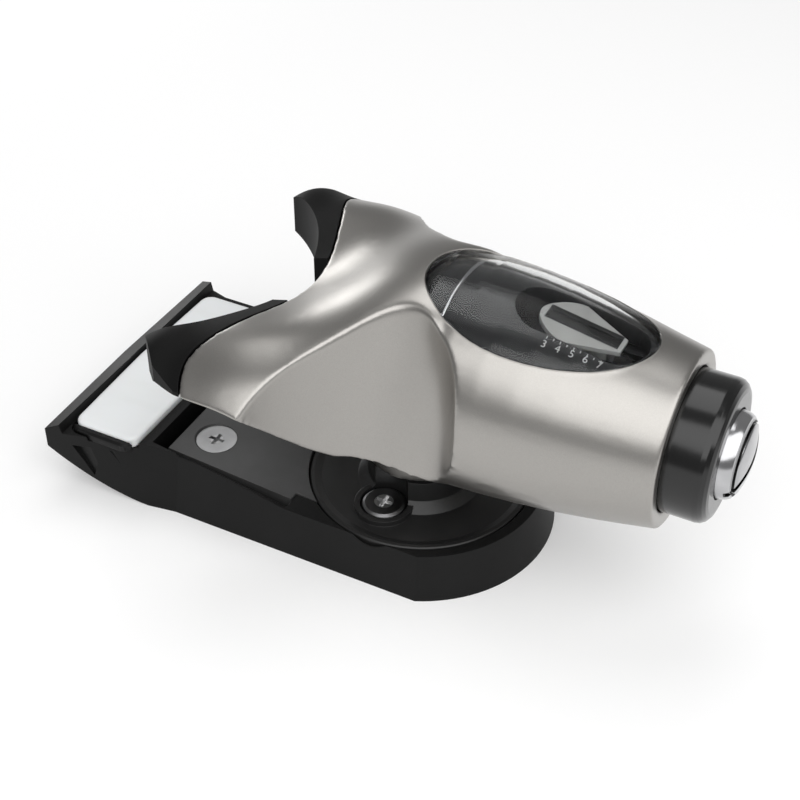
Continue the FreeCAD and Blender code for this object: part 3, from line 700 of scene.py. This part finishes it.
def scale_figures():
    """Plain figures and ticks beside the pointer's passage."""
    for index, figure in enumerate("34567"):
        x = SCALE_START_X + FIGURE_PITCH * index
        bpy.ops.object.select_all(action="DESELECT")
        bpy.ops.object.text_add()
        label = bpy.context.object
        label.data.body = figure
        label.data.size = FIGURE_SIZE * MM
        label.data.extrude = PRINT_HEIGHT * MM
        label.data.align_x = "CENTER"
        label.data.align_y = "CENTER"
        bpy.ops.object.convert(target="MESH")
        label.name = "scale_figure_" + figure
        label.data.materials.append(PRINT)
        on_insert(label, x, FIGURE_SIDE + FIGURE_DRIFT * index)
    for index in range(TICK_COUNT):
        x = SCALE_START_X + TICK_PITCH * index
        bpy.ops.object.select_all(action="DESELECT")
        bpy.ops.mesh.primitive_plane_add(size=1.0)
        tick = bpy.context.object
        tick.name = "scale_tick_%d" % (index + 1)
        length = 0.7 if index % 2 == 0 else 0.45
        bpy.ops.object.mode_set(mode="EDIT")
        bpy.ops.mesh.select_all(action="SELECT")
        bpy.ops.transform.resize(value=(TICK_WIDTH * MM, length * MM, 1.0))
        rise = (0, 0, PRINT_HEIGHT * MM)
        bpy.ops.mesh.extrude_region_move(TRANSFORM_OT_translate={"value": rise})
        bpy.ops.object.mode_set(mode="OBJECT")
        tick.data.materials.append(PRINT)
        on_insert(tick, x, TICK_SIDE)


finish_nodes()
housing()
boot_pad()
pad_frame()
sprung_coil()
adjusting_screw()
scale_ring()
scale_figures()


# ---- floor, light and camera
def stage_floor():
    bpy.ops.mesh.primitive_plane_add(size=16.0, location=(0, 0, 0))
    floor = bpy.context.object
    floor.name = "floor"
    f = Finish("floor_pale", Base_Color=(0.77, 0.77, 0.77), Roughness=0.9)
    path = f.node("ShaderNodeLightPath")
    seen = Signal(f, path.outputs["Is Camera Ray"]).larger(
        Signal(f, path.outputs["Is Glossy Ray"])).larger(
        Signal(f, path.outputs["Is Transmission Ray"]))
    f.set(Emission_Color=f.blend(seen, (0.0, 0.0, 0.0), (1.0, 1.0, 1.0)))
    f.fixed(Emission_Strength=0.22)
    floor.data.materials.append(f.material)


def studio_world():
    world = bpy.data.worlds.new("studio")
    world.use_nodes = True
    background = world.node_tree.nodes["Background"]
    background.inputs["Color"].default_value = (1.0, 1.0, 1.0, 1.0)
    background.inputs["Strength"].default_value = 0.26
    bpy.context.scene.world = world


def soft_lamp(name, place, target, size, power):
    data = bpy.data.lights.new(name, "AREA")
    data.shape = "RECTANGLE"
    data.size, data.size_y = size
    data.energy = power
    lamp = bpy.data.objects.new(name, data)
    lamp.location = place
    lamp.visible_camera = False
    lamp.rotation_euler = (Vector(target) - Vector(place)).to_track_quat("-Z", "Y").to_euler()
    bpy.context.scene.collection.objects.link(lamp)


def studio_camera():
    data = bpy.data.cameras.new("camera")
    data.lens = 70.0
    data.sensor_width = 36.0
    data.clip_start = 0.01
    camera = bpy.data.objects.new("camera", data)
    eye = Vector((143.456, -241.936, 250.416)) * MM
    aim = Vector((12.984, 11.500, 19.094)) * MM
    camera.location = eye
    camera.rotation_euler = (aim - eye).to_track_quat("-Z", "Y").to_euler()
    bpy.context.scene.collection.objects.link(camera)
    bpy.context.scene.camera = camera


stage_floor()
studio_world()
middle = (0.02, 0.0, 0.03)
soft_lamp("key_softbox", (0.37, -0.38, 0.66), middle, (1.50, 0.85), 8.5)
soft_lamp("overhead_softbox", (-0.12, 0.24, 0.73), middle, (0.50, 0.52), 1.6)
soft_lamp("low_softbox", (-0.42, 0.31, 0.12), middle, (0.14, 0.15), 0.32)
studio_camera()
bpy.context.scene.view_settings.view_transform = "Standard"
